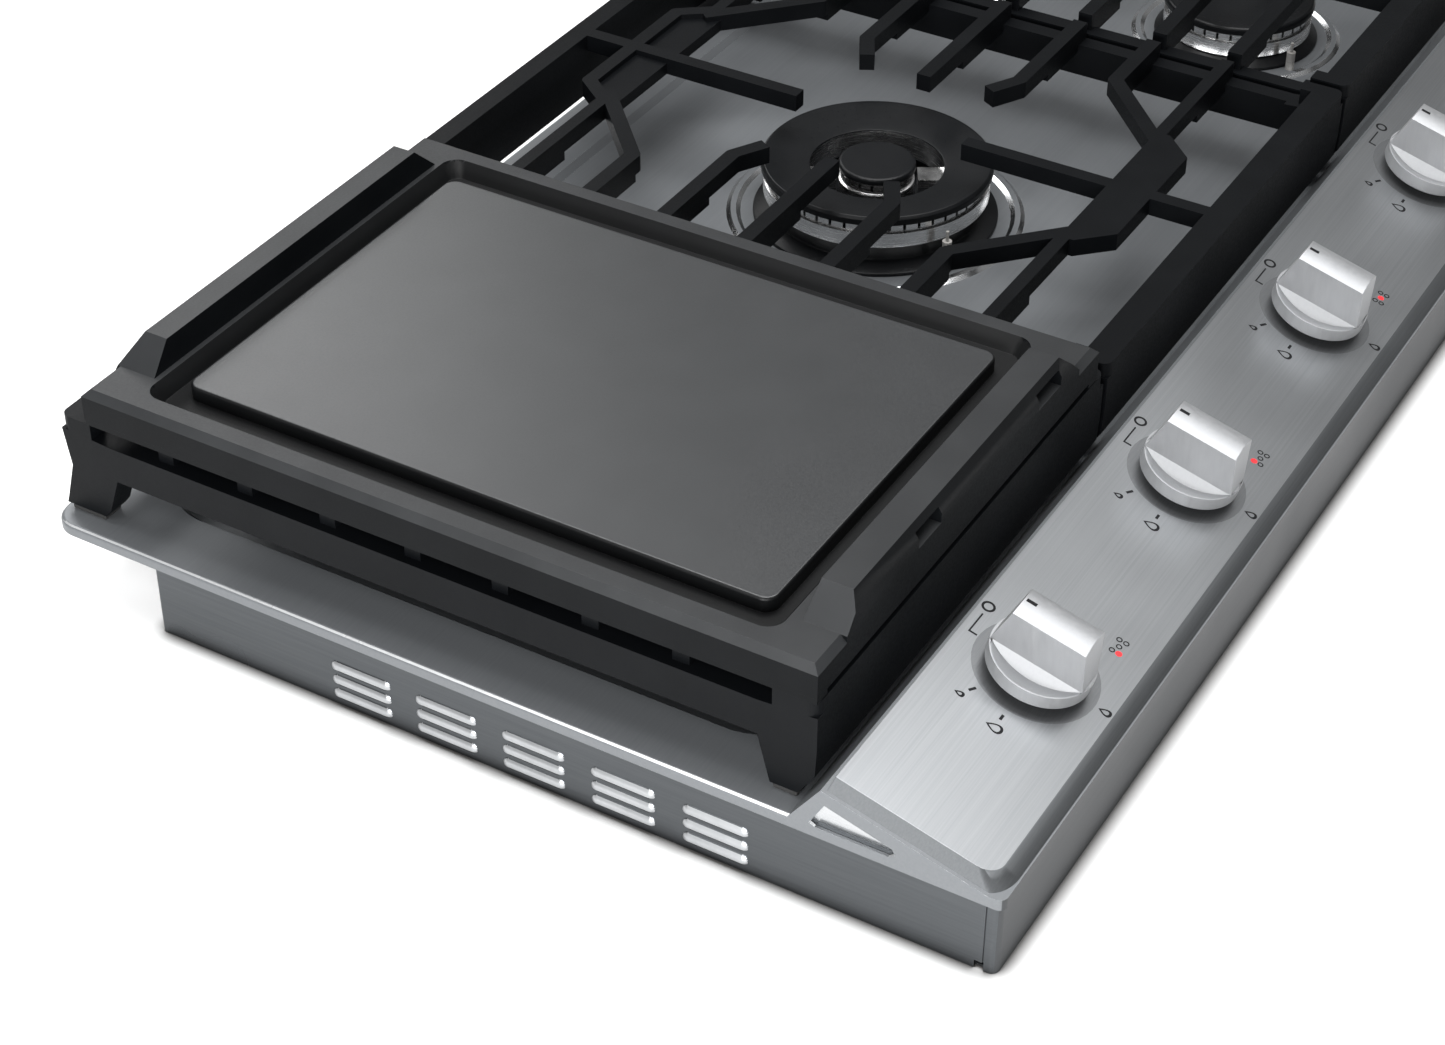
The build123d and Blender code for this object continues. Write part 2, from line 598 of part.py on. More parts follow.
def grate_frame(cx, half):
    """Side rails, front and back rails and legs."""
    inner = half - RAIL_WIDTH
    frame = rounded_block(
        cx - half, cx + half, GRATE_FRONT, GRATE_BACK, DEEP_LOW, GRATE_TOP, GRATE_CORNER,
    )
    frame -= block(
        cx - inner, cx + inner, GRATE_FRONT + FRONT_RAIL, GRATE_BACK - BACK_RAIL, 0, 2 * GRATE_TOP,
    )
    # the side rails lie lower than the bars that cross them
    for side in (-1, 1):
        edge = sorted((cx + side * (half + 1), cx + side * (half - RAIL_WIDTH - 1)))
        frame -= block(*edge, GRATE_FRONT + 22, GRATE_BACK - 18, BAR_LOW, 2 * GRATE_TOP)
        rail = sorted((cx + side * half, cx + side * (half - RAIL_WIDTH)))
        frame += block(*rail, GRATE_FRONT + 8, GRATE_BACK - 8, RAIL_LOW, BAR_LOW)
    # deep aprons between the legs
    front_apron = [
        (GRATE_FRONT, BAR_LOW), (GRATE_FRONT, 76), (GRATE_FRONT + 0.7, APRON_LOW),
        (GRATE_FRONT + APRON_SHEET, APRON_LOW), (GRATE_FRONT + APRON_SHEET, BAR_LOW),
    ]
    back_apron = [
        (GRATE_BACK, BAR_LOW), (245, RAIL_LOW), (248, APRON_LOW), (248 - APRON_SHEET, APRON_LOW),
        (245 - APRON_SHEET, RAIL_LOW), (245 - APRON_SHEET, BAR_LOW),
    ]
    for outline in (front_apron, back_apron):
        frame += side_profile(outline, cx - half + LEG_WIDTH / 2, cx + half - LEG_WIDTH / 2)
    for leg in legs(cx, half):
        frame += leg
    return frame


def finger(cx, points, width=BAR_WIDTH, low=BAR_LOW, mirror=True):
    """Bar through grate points, given from the grate's middle, and its mirror image."""
    made = [strip([(cx + x, GRATE_MID_Y + y) for x, y in points], width, low, GRATE_TOP)]
    if mirror:
        made.append(strip([(cx - x, GRATE_MID_Y + y) for x, y in points], width, low, GRATE_TOP))
    return made


def plan_plate(cx, points, low, high):
    return plan_profile([(cx + x, GRATE_MID_Y + y) for x, y in points], low, high)


def grate_centre():
    half = CENTRE_HALF
    grate = grate_frame(0, half)
    bars = finger(0, [(half, 0), (53, 0)])
    bars += finger(0, [(half, 0), (ROOT, 0)], low=DEEP_LOW)
    for flip in (-1, 1):
        bars += finger(0, [(half, flip * 48.4), (76, flip * 48.4), (58, flip * 38.5)])
        bars += finger(0, [(half, flip * 94.5), (104, flip * 94.5), (52, flip * 143)])
        bars += finger(0, [(half, flip * 140), (58, flip * 140)], width=NARROW_BAR)
        for y in (48.4, 94.5, 140):
            bars += finger(0, [(half, flip * y), (ROOT + 12, flip * y)], low=DEEP_LOW, width=NARROW_BAR)
    # front web and the spoke that ties it to the front rail
    web = [(-62, -138), (62, -138), (62, -146), (45, -163.2), (-45, -163.2), (-62, -146)]
    bars.append(plan_plate(0, web, BAR_LOW, GRATE_TOP))
    bars += finger(0, [(0, -200), (0, -52.6)], mirror=False)
    # back band with a lower web in front of it
    bars += finger(0, [(60, 141), (47, 158.2), (-47, 158.2), (-60, 141)], width=8.3, mirror=False)
    low_web = [(-58, 133.7), (58, 133.7), (50, 156), (-50, 156)]
    bars.append(plan_plate(0, low_web, BAR_LOW, GRATE_TOP - 3))
    bars += finger(0, [(0, 192), (0, 49.8)], mirror=False)
    for bar in bars:
        grate += bar
    return grate


def grate_side(cx):
    half = SIDE_HALF
    end = half - BAR_SETBACK
    grate = grate_frame(cx, half)
    bars = finger(cx, [(end, 0), (0, 0)])
    for flip in (-1, 1):
        middle = flip * BURNER_OFFSET_Y
        bars += finger(cx, [(end, flip * 140), (0, flip * 140)])
        bars += finger(cx, [(end, flip * 94), (26, middle)])
        bars += finger(cx, [(end, flip * 47), (52, flip * 47), (30, flip * 62)])
        bars += finger(cx, [(25, flip * 193), (25, flip * 140)])
        bars += finger(cx, [(0, flip * 140), (0, middle + flip * 27)], mirror=False)
        bars += finger(cx, [(0, 0), (0, middle - flip * 27)], mirror=False)
        for y in (47, 94, 140):
            bars += finger(cx, [(end, flip * y), (ROOT, flip * y)], low=DEEP_LOW, width=NARROW_BAR)
    for bar in bars:
        grate += bar
    return grate


# ---- griddle ------------------------------------------------------------------------
def across(rectangle):
    """Middle and size of a plan rectangle given as x0, x1, y0, y1."""
    x0, x1, y0, y1 = rectangle
    return Pos((x0 + x1) / 2, (y0 + y1) / 2, 0), x1 - x0, y1 - y0


def hand_rails():
    """Raised rails across the front and the back, sloped down at both ends."""
    foot = GRIDDLE_TOP - 4
    ends = front_profile(
        [
            (RAIL_BASE[0], foot), (RAIL_BASE[0], GRIDDLE_TOP), (RAIL_CREST[0], GRIDDLE_RAIL_TOP),
            (RAIL_CREST[1], GRIDDLE_RAIL_TOP), (RAIL_BASE[1], GRIDDLE_TOP), (RAIL_BASE[1], foot),
        ],
        GRIDDLE_FRONT - 1, GRIDDLE_BACK + 1,
    )
    front_rail = side_profile([
        (GRIDDLE_FRONT, foot), (GRIDDLE_FRONT, 130.8), (-156.3, GRIDDLE_RAIL_TOP),
        (-141, GRIDDLE_RAIL_TOP), (-138.6, foot),
    ], *RAIL_BASE)
    back_rail = side_profile([
        (208, GRIDDLE_TOP - 2), (208.5, GRIDDLE_RAIL_TOP), (221.3, GRIDDLE_RAIL_TOP),
        (GRIDDLE_BACK, GRIDDLE_TOP - 3), (GRIDDLE_BACK - 3, foot), (212, foot),
    ], *RAIL_BASE)
    rails = (front_rail & ends) + (back_rail & ends)
    for low, high in RAIL_NOTCHES:
        rails -= block(low, high, GRIDDLE_FRONT - 1, GRIDDLE_FRONT + 12, 126, 134)
    return rails


def griddle():
    body = block(GRIDDLE_LEFT, GRIDDLE_RIGHT, GRIDDLE_FRONT, GRIDDLE_BACK, GRIDDLE_LOW + 3, GRIDDLE_TOP)
    body = chamfer(body.edges().group_by(Axis.Z)[-1], GRIDDLE_BEVEL)
    # sloped border and drip trough
    middle, width, depth = across(FIELD)
    floor = RectangleRounded(width - 10, depth - 10, 6)
    mouth = RectangleRounded(width, depth, 9)
    trough_low = GRIDDLE_TOP - TROUGH_DEPTH
    body -= middle * loft([Pos(0, 0, trough_low) * floor, Pos(0, 0, GRIDDLE_TOP + 0.01) * mouth])
    # raised cooking plate inside the trough
    middle, width, depth = across(PLATE)
    plate_outline = middle * Pos(0, 0, trough_low - 1) * RectangleRounded(width, depth, 7)
    raised = extrude(plate_outline, amount=TROUGH_DEPTH + 0.6)
    body += fillet(raised.edges().group_by(Axis.Z)[-1], 1.6)
    # hollow underneath, with a rim each side that stands on the grate
    inner = (GRIDDLE_LEFT + GRIDDLE_RIM, GRIDDLE_RIGHT - GRIDDLE_RIM)
    front = GRIDDLE_FRONT + GRIDDLE_RIM
    body -= block(*inner, front, GRIDDLE_BACK - GRIDDLE_RIM, 0, trough_low - GRIDDLE_SHEET)
    for side in (GRIDDLE_LEFT + 0.2, GRIDDLE_RIGHT - GRIDDLE_RIM - 0.2):
        body += block(
            side, side + GRIDDLE_RIM, GRIDDLE_FRONT + 0.2, GRIDDLE_BACK - 0.2, GRIDDLE_LOW, GRIDDLE_LOW + 6,
        )
    return body + hand_rails()


# ---- knobs, stems and valves --------------------------------------------------------
def d_shaft(radius, flat, z0, z1):
    """Round shaft with one flat, along Z."""
    shaft = disc(0, 0, radius, z0, z1)
    return shaft - block(-radius - 1, radius + 1, flat, radius + 1, z0 - 1, z1 + 1)


GRIP_HALF = 10.0
GRIP_WAIST = 8.0
GRIP_CROWN = 24.0
RIM_LAND = 0.8
BOWL_DEPTH = 6.5


def knob():
    """Skirted knob with a wide grip over a dished skirt. Z is square to the panel; +Y points at OFF."""
    low = KNOB_GAP
    bowl_edge = KNOB_RADIUS - RIM_LAND
    body = turned([
        (0, low), (KNOB_RADIUS - 0.8, low), (KNOB_RADIUS, low + 0.8),
        (KNOB_RADIUS, SKIRT_HEIGHT), (0, SKIRT_HEIGHT),
    ])
    bowl_radius = (bowl_edge ** 2 + BOWL_DEPTH ** 2) / (2 * BOWL_DEPTH)
    body -= Pos(0, 0, SKIRT_HEIGHT - BOWL_DEPTH + bowl_radius) * Sphere(bowl_radius)
    # sloped root between the bowl and the grip
    root = front_profile(
        [
            (-GRIP_WAIST, SKIRT_HEIGHT), (GRIP_WAIST, SKIRT_HEIGHT),
            (GRIP_WAIST + 6, low + 2), (-GRIP_WAIST - 6, low + 2),
        ],
        -KNOB_RADIUS, KNOB_RADIUS,
    )
    body += root & disc(0, 0, bowl_edge, low, SKIRT_HEIGHT)
    # grip: narrow at the waist, wider and shorter on top, with a crowned ridge
    rim_reach = (KNOB_RADIUS ** 2 - GRIP_WAIST ** 2) ** 0.5
    grip = loft([
        Pos(0, 0, SKIRT_HEIGHT - 0.5) * Rectangle(2 * GRIP_WAIST, 2 * rim_reach),
        Pos(0, 0, KNOB_HEIGHT) * Rectangle(2 * GRIP_HALF, 2 * GRIP_REACH),
    ])
    grip &= Pos(0, 0, KNOB_HEIGHT - GRIP_CROWN) * Rot(90, 0, 0) * Cylinder(GRIP_CROWN, 4 * KNOB_RADIUS)
    body += grip & disc(0, 0, KNOB_RADIUS, 0, 2 * KNOB_HEIGHT)
    # recess under the skirt and the bore that grips the stem
    body -= tube(0, 0, KNOB_RADIUS - 3, STEM_RADIUS + 3, low - 1, low + 1)
    body -= d_shaft(STEM_RADIUS, STEM_FLAT, 0, STEM_TOP)
    return body


STEM_LOW = -26.0
PLUG_RADIUS = 7.0
PLUG_LOW = -34.0
PLUG_TOP = -15.0
VALVE_RADIUS = 12.0
VALVE_LOW = PLUG_LOW - 4


def valve_stem():
    """D-shaped stem from inside the valve plug up into the knob, slim as far as it slides in the plug."""
    slim_top = PLUG_TOP + PUSH_TRAVEL + 1
    slim = d_shaft(STEM_RADIUS - RUNNING_GAP, STEM_FLAT - RUNNING_GAP, STEM_LOW, slim_top)
    return slim + d_shaft(STEM_RADIUS, STEM_FLAT, slim_top, STEM_TOP)


def valve_plug():
    """Rotor that meters the gas: the stem slides in its D-shaped socket and turns it."""
    body = disc(0, 0, PLUG_RADIUS - RUNNING_GAP, PLUG_LOW, PLUG_TOP)
    body -= d_shaft(STEM_RADIUS, STEM_FLAT, STEM_LOW - PUSH_TRAVEL - 1, PLUG_TOP + 1)
    return body


def gas_valve():
    """Brass body round the plug, with a saddle that bolts it to the manifold."""
    body = disc(0, 0, VALVE_RADIUS, VALVE_LOW, PLUG_TOP + 4)
    body -= disc(0, 0, PLUG_RADIUS, PLUG_LOW - 0.3, PLUG_TOP + 0.3)
    body -= disc(0, 0, STEM_RADIUS + 0.6, PLUG_TOP, PLUG_TOP + 5)
    body += tube(0, 0, STEM_RADIUS + 3, STEM_RADIUS + 0.6, PLUG_TOP + 3, PLUG_TOP + 7)
    return body


# ---- gas line -----------------------------------------------------------------------
MANIFOLD_Y = -196.0
MANIFOLD_Z = 12.0
MANIFOLD_RADIUS = 7.0
INLET_X = 355.0
INLET_Z = 20.0
INLET_RADIUS = 13.0
INLET_BORE = 9.6
INLET_DEPTH = 18.0
GLAND_X = -330.0
GLAND_Z = 20.0
GLAND_NECK = 8.0
GLAND_BORE = 4.0
FEED_RADIUS = 3.0


def along_x(x0, x1, y, z, radius):
    return Pos((x0 + x1) / 2, y, z) * Rot(0, 90, 0) * Cylinder(radius, x1 - x0)


def along_y(x, y0, y1, z, radius):
    return Pos(x, (y0 + y1) / 2, z) * Rot(90, 0, 0) * Cylinder(radius, y1 - y0)


def gas_manifold():
    """Tube behind the valves with a boss to each valve and a leg to the regulator."""
    end = 390.0
    pipe = along_x(-end + 40, end, MANIFOLD_Y, MANIFOLD_Z, MANIFOLD_RADIUS)
    for x in KNOB_XS:
        pipe += on_panel(x) * disc(0, 0, 5, PLUG_LOW - 12, VALVE_LOW)
    pipe += along_y(end - MANIFOLD_RADIUS, MANIFOLD_Y, REGULATOR_FRONT, MANIFOLD_Z, MANIFOLD_RADIUS)
    pipe += Pos(end - MANIFOLD_RADIUS, MANIFOLD_Y, MANIFOLD_Z) * Sphere(MANIFOLD_RADIUS)
    return pipe


REGULATOR_FRONT = 110.0
REGULATOR_BACK = 160.0


def gas_regulator():
    """Pressure regulator: a cast body with a round diaphragm cover."""
    body = block(335, 410, REGULATOR_FRONT, REGULATOR_BACK, 5, 32)
    body = fillet(body.edges().filter_by(Axis.Z), 6)
    body += disc(372, (REGULATOR_FRONT + REGULATOR_BACK) / 2, 20, 32, 38)
    return body


def gas_inlet():
    """Threaded inlet socket through the back wall."""
    socket = along_y(INLET_X, REGULATOR_BACK, BOX_BACK + 22, INLET_Z, INLET_RADIUS)
    socket -= along_y(INLET_X, BOX_BACK + 22 - INLET_DEPTH, BOX_BACK + 23, INLET_Z, INLET_BORE)
    return socket


FEED_LEVEL = PANEL_MID_Z - 30 * cos(radians(PANEL_TILT))
FEED_START_Y = PANEL_MID_Y + 30 * sin(radians(PANEL_TILT)) + VALVE_RADIUS + 1.6
FEED_BEND = 12.0


def feed_tube(valve_x, burner_x, burner_y, throat, lane_y):
    """Aluminium tube from a valve's outlet to a burner's throat, crossing over at lane_y."""
    end_y = burner_y - throat
    if valve_x == burner_x:
        route = Polyline((valve_x, FEED_START_Y, FEED_LEVEL), (valve_x, end_y, FEED_LEVEL))
    else:
        route = FilletPolyline(
            (valve_x, FEED_START_Y, FEED_LEVEL), (valve_x, lane_y, FEED_LEVEL),
            (burner_x, lane_y, FEED_LEVEL), (burner_x, end_y, FEED_LEVEL), radius=FEED_BEND,
        )
    return sweep(Plane(route @ 0, z_dir=route % 0) * Circle(FEED_RADIUS), path=route)


FRONT_LANE = -126.0
FRONT_Y = GRATE_MID_Y - BURNER_OFFSET_Y
REAR_Y = GRATE_MID_Y + BURNER_OFFSET_Y
FEEDS = (
    (KNOB_XS[0], -SIDE_BURNER_X, FRONT_Y, THROAT_RADIUS, FRONT_LANE),
    (KNOB_XS[1], -SIDE_BURNER_X, REAR_Y, THROAT_RADIUS, GRATE_MID_Y),
    (KNOB_XS[2], 0.0, GRATE_MID_Y, THROAT_RADIUS + 4, GRATE_MID_Y),
    (KNOB_XS[3], SIDE_BURNER_X, REAR_Y, THROAT_RADIUS, GRATE_MID_Y),
    (KNOB_XS[4], SIDE_BURNER_X, FRONT_Y, THROAT_RADIUS, FRONT_LANE),
)


def spark_module():
    body = block(-400, -330, 90, 150, BOX_SHEET, 28)
    body = fillet(body.edges().filter_by(Axis.Z), 4)
    for i in range(6):
        body += disc(-392 + 11 * i, 96, 2.5, 27, 32)
    return body


def cord_gland():
    """Moulded strain-relief bush in the back wall, where the supply cord passes."""
    bush = along_y(GLAND_X, BOX_BACK - 8, BOX_BACK + 6, GLAND_Z, GLAND_NECK)
    bush += along_y(GLAND_X, BOX_BACK + 0.2, BOX_BACK + 4, GLAND_Z, GLAND_NECK + 3)
    bush += along_y(GLAND_X, BOX_BACK - 5, BOX_BACK - BOX_SHEET - 0.2, GLAND_Z, GLAND_NECK + 2)
    bush -= along_y(GLAND_X, BOX_BACK - 9, BOX_BACK + 7, GLAND_Z, GLAND_BORE)
    return bush


# ---- fixings ------------------------------------------------------------------------
BRACKET_X = 240.0
BRACKET_SHEET = 2.0
BRACKET_REACH = 30.0
BRACKET_LOW = 8.0
BRACKET_HIGH = 36.0
BRACKET_HALF = 15.0
CLAMP_HOLE = 3.25
SCREW_RADIUS = 3.0
SCREW_HEAD = 2.4
CLAMP_Y = BOX_BACK + 18


def hold_down_brackets():
    """Two angle brackets on the back wall, each with one hole for a clamp screw."""
    made = []
    for x in (-BRACKET_X, BRACKET_X):
        sides = (x - BRACKET_HALF, x + BRACKET_HALF)
        shelf_top = BRACKET_LOW + BRACKET_SHEET
        piece = block(*sides, BOX_BACK, BOX_BACK + BRACKET_SHEET, BRACKET_LOW, BRACKET_HIGH)
        piece += block(*sides, BOX_BACK, BOX_BACK + BRACKET_REACH, BRACKET_LOW, shelf_top)
        piece -= disc(x, CLAMP_Y, CLAMP_HOLE, BRACKET_LOW - 1, shelf_top + 1)
        made.append(piece)
    return group(made)


def bracket_screws():
    face = BOX_BACK + BRACKET_SHEET
    made = []
    for x in (-BRACKET_X, BRACKET_X):
        for offset in (-8, 8):
            made.append(along_y(x + offset, face, face + SCREW_HEAD, 26, SCREW_RADIUS))
    return group(made)


def burner_screws():
    """Screws that clamp each burner base to the pan, three to a burner."""
    seats = [(x, y, THROAT_RADIUS + 6) for _, x, y, _ in SINGLE_BURNERS]
    seats.append((0, GRATE_MID_Y, THROAT_RADIUS + 12))
    top = WELL_TOP - SHEET
    made = []
    for x, y, reach in seats:
        for turn in (90, 210, 330):
            screw = disc(reach, 0, SCREW_RADIUS, top - SCREW_HEAD, top)
            made.append(Pos(x, y, 0) * Rot(0, 0, turn) * screw)
    return group(made)


# ---- write every piece --------------------------------------------------------------
save(burner_box(), "burner_box")
save(top_pan(), "top_pan")
save(control_panel(), "control_panel")
save(side_trim(-1), "side_trim_left")
save(side_trim(1), "side_trim_right")

for name, x, y, radius in SINGLE_BURNERS:
    save(single_base(x, y, radius), f"burner_base_{name}")
    save(single_head(x, y, radius), f"burner_head_{name}")
    save(single_cap(x, y, radius), f"burner_cap_{name}")
save(dual_base(), "dual_burner_base")
save(dual_outer_head(), "dual_outer_head")
save(dual_ring_cap(), "dual_ring_cap")
save(dual_inner_head(), "dual_inner_head")
save(dual_inner_cap(), "dual_inner_cap")
save(igniters(), "igniters")

save(grate_side(-SIDE_X), "grate_left")
save(grate_centre(), "grate_centre")
save(grate_side(SIDE_X), "grate_right")
save(grate_feet(-SIDE_X, SIDE_HALF), "grate_feet_left")
save(grate_feet(0, CENTRE_HALF), "grate_feet_centre")
save(grate_feet(SIDE_X, SIDE_HALF), "grate_feet_right")
save(griddle(), "griddle")

for number, x in enumerate(KNOB_XS, start=1):
    place = on_panel(x)
    save(place * knob(), f"knob_{number}")
    save(place * valve_stem(), f"valve_stem_{number}")
    save(place * valve_plug(), f"valve_plug_{number}")
    save(place * gas_valve(), f"gas_valve_{number}")

save(gas_manifold(), "gas_manifold")
save(gas_regulator(), "gas_regulator")
save(gas_inlet(), "gas_inlet")
save(group([feed_tube(*feed) for feed in FEEDS]), "feed_tubes")
save(spark_module(), "spark_module")
save(cord_gland(), "cord_gland")
save(hold_down_brackets(), "hold_down_brackets")
save(bracket_screws(), "bracket_screws")
save(burner_screws(), "burner_screws")
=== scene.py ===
import json
import math

import bmesh
import bpy
from mathutils import Matrix, Vector

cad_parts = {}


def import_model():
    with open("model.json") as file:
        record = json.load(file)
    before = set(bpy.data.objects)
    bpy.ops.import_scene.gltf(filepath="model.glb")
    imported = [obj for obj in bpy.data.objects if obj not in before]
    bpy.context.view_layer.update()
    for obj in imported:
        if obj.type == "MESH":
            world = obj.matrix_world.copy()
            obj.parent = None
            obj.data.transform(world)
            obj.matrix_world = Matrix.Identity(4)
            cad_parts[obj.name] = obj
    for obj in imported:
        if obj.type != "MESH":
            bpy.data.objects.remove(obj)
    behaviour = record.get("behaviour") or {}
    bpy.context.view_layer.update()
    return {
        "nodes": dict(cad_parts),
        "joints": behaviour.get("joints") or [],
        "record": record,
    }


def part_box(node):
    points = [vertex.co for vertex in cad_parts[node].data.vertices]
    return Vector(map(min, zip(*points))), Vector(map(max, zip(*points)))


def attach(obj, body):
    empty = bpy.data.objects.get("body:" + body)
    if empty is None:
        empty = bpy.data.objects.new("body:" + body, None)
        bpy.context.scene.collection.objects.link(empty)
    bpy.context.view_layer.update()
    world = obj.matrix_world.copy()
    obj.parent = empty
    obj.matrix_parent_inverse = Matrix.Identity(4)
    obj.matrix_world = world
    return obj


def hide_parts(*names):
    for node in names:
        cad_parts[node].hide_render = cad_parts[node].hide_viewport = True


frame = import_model()
scene = bpy.context.scene
MM = 0.001

# ---- names of the frame that repeat -------------------------------------------------
BURNERS = ("left_front", "left_rear", "right_front", "right_rear")
KNOBS = range(1, 6)
PANEL_TILT = math.radians(15.3)
PANEL_NORMAL = Vector((0, -math.sin(PANEL_TILT), math.cos(PANEL_TILT)))
JOINTS = {joint["name"]: joint for joint in frame["joints"]}


# ---- material nodes -----------------------------------------------------------------
class Finish:
    """One procedural material, with short calls for the nodes that repeat."""

    def __init__(self, name, colour, roughness, metallic=0.0, specular=0.5):
        self.material = bpy.data.materials.new(name)
        self.material.use_nodes = True
        self.nodes = self.material.node_tree.nodes
        self.links = self.material.node_tree.links
        self.shader = self.nodes["Principled BSDF"]
        self.shader.inputs["Base Color"].default_value = (*colour, 1)
        self.shader.inputs["Roughness"].default_value = roughness
        self.shader.inputs["Metallic"].default_value = metallic
        self.shader.inputs["Specular IOR Level"].default_value = specular
        self.place = self.nodes.new("ShaderNodeTexCoord").outputs["Object"]

    def noise(self, stretch, detail=3.0, rough=0.5):
        """Noise whose grains are 1/stretch metres long on each axis."""
        mapping = self.nodes.new("ShaderNodeMapping")
        mapping.inputs["Scale"].default_value = stretch
        self.links.new(self.place, mapping.inputs["Vector"])
        noise = self.nodes.new("ShaderNodeTexNoise")
        noise.inputs["Scale"].default_value = 1.0
        noise.inputs["Detail"].default_value = detail
        noise.inputs["Roughness"].default_value = rough
        self.links.new(mapping.outputs["Vector"], noise.inputs["Vector"])
        return noise.outputs["Fac"]

    def ramp(self, value, low, high, to_low, to_high):
        """Value from low..high moved to to_low..to_high."""
        node = self.nodes.new("ShaderNodeMapRange")
        node.inputs["From Min"].default_value = low
        node.inputs["From Max"].default_value = high
        node.inputs["To Min"].default_value = to_low
        node.inputs["To Max"].default_value = to_high
        self.links.new(value, node.inputs["Value"])
        return node.outputs["Result"]

    def tint(self, value, dark, light):
        """Colour between two, by value from 0 to 1."""
        node = self.nodes.new("ShaderNodeMix")
        node.data_type = "RGBA"
        node.inputs["A"].default_value = (*dark, 1)
        node.inputs["B"].default_value = (*light, 1)
        self.links.new(value, node.inputs["Factor"])
        self.links.new(node.outputs["Result"], self.shader.inputs["Base Color"])

    def roughen(self, value):
        self.links.new(value, self.shader.inputs["Roughness"])

    def bump(self, *layers):
        """Stack of (value, depth in millimetres) bumps."""
        below = None
        for value, depth in layers:
            node = self.nodes.new("ShaderNodeBump")
            node.inputs["Strength"].default_value = 1.0
            node.inputs["Distance"].default_value = depth * MM
            self.links.new(value, node.inputs["Height"])
            if below is not None:
                self.links.new(below, node.inputs["Normal"])
            below = node.outputs["Normal"]
        self.links.new(below, self.shader.inputs["Normal"])


def brushed(name, dark, light, rough, grain, depth=0.012, metallic=1.0):
    """Brushed or rolled sheet: fine scratches along one axis over soft cloudy changes."""
    made = Finish(name, light, rough, metallic=metallic)
    scratch = made.noise(grain, detail=5.0, rough=0.65)
    cloud = made.noise((9, 9, 9), detail=2.0)
    made.tint(made.ramp(scratch, 0.3, 0.7, 0.0, 1.0), dark, light)
    made.roughen(made.ramp(cloud, 0.3, 0.7, rough - 0.05, rough + 0.05))
    made.bump((scratch, depth))
    return made.material


def iron(name, dark, light, rough, grain_depth, specular=0.5):
    """Enamelled casting: fine sand grain with slow changes of tone."""
    made = Finish(name, dark, rough, specular=specular)
    grain = made.noise((900, 900, 900), detail=4.0, rough=0.6)
    cloud = made.noise((35, 35, 35), detail=3.0)
    made.tint(made.ramp(cloud, 0.35, 0.7, 0.0, 1.0), dark, light)
    made.roughen(made.ramp(grain, 0.3, 0.7, rough - 0.07, rough + 0.07))
    made.bump((made.noise((120, 120, 120), detail=2.0), grain_depth * 1.5), (grain, grain_depth))
    return made.material


def moulded(name, dark, light, rough, specular=0.5):
    """Plastic or rubber with a fine spark-eroded texture."""
    made = Finish(name, dark, rough, specular=specular)
    grain = made.noise((1500, 1500, 1500), detail=2.0)
    made.tint(made.ramp(grain, 0.3, 0.7, 0.0, 1.0), dark, light)
    made.bump((grain, 0.02))
    return made.material


def turned_metal(name, dark, light, rough, metallic=1.0, grain=(60, 60, 2500), depth=0.01):
    """Machined or drawn metal with fine rings round its axis."""
    made = Finish(name, light, rough, metallic=metallic)
    rings = made.noise(grain, detail=4.0, rough=0.6)
    made.tint(made.ramp(rings, 0.3, 0.7, 0.0, 1.0), dark, light)
    made.roughen(made.ramp(rings, 0.3, 0.7, rough - 0.06, rough + 0.06))
    made.bump((rings, depth))
    return made.material


PAN_STEEL = brushed(
    "pan_steel", (0.132, 0.140, 0.148), (0.148, 0.156, 0.164), 0.36, (14, 700, 700), 0.003, 0.35,
)
# painted highlight: the pan's pressed bead round each burner gets a far brighter, glossier copy of the
# pan steel
BEAD_HIGHLIGHT_STEEL = brushed("bead_highlight_steel", (0.60, 0.61, 0.62), (0.68, 0.69, 0.70), 0.18, (60, 60, 60), 0.003)
BOX_STEEL = brushed(
    "box_steel", (0.085, 0.091, 0.097), (0.100, 0.106, 0.112), 0.30, (700, 16, 700), 0.003,
)
PANEL_STEEL = brushed(
    "panel_steel", (0.25, 0.259, 0.268), (0.29, 0.299, 0.308), 0.38, (7, 1100, 1100), 0.006,
)
# painted shade: the panel plate's bevels get a darker copy of the panel steel
BEVEL_SHADE_STEEL = brushed(
    "bevel_shade_steel", (0.095, 0.100, 0.105), (0.115, 0.120, 0.125), 0.38, (7, 1100, 1100), 0.004, 0.85,
)
# painted shade: forward-facing faces of the box and the pan's front edge get a near-black copy of the
# steel
FRONT_SHADE_STEEL = brushed(
    "front_shade_steel", (0.040, 0.043, 0.046), (0.050, 0.053, 0.056), 0.5, (7, 1100, 1100), 0.003, 0.4,
)
# painted shade: the dish pressed round each knob gets a darker copy of the panel steel
DISH_SHADE_STEEL = brushed(
    "dish_shade_steel", (0.150, 0.156, 0.162), (0.180, 0.186, 0.192), 0.40, (7, 1100, 1100), 0.004, 0.8,
)
# painted highlight: the louvre hoods get a bright copy of the box steel
HOOD_HIGHLIGHT_STEEL = brushed("hood_highlight_steel", (0.36, 0.37, 0.38), (0.42, 0.43, 0.44), 0.34, (60, 60, 60), 0.002, 0.8)
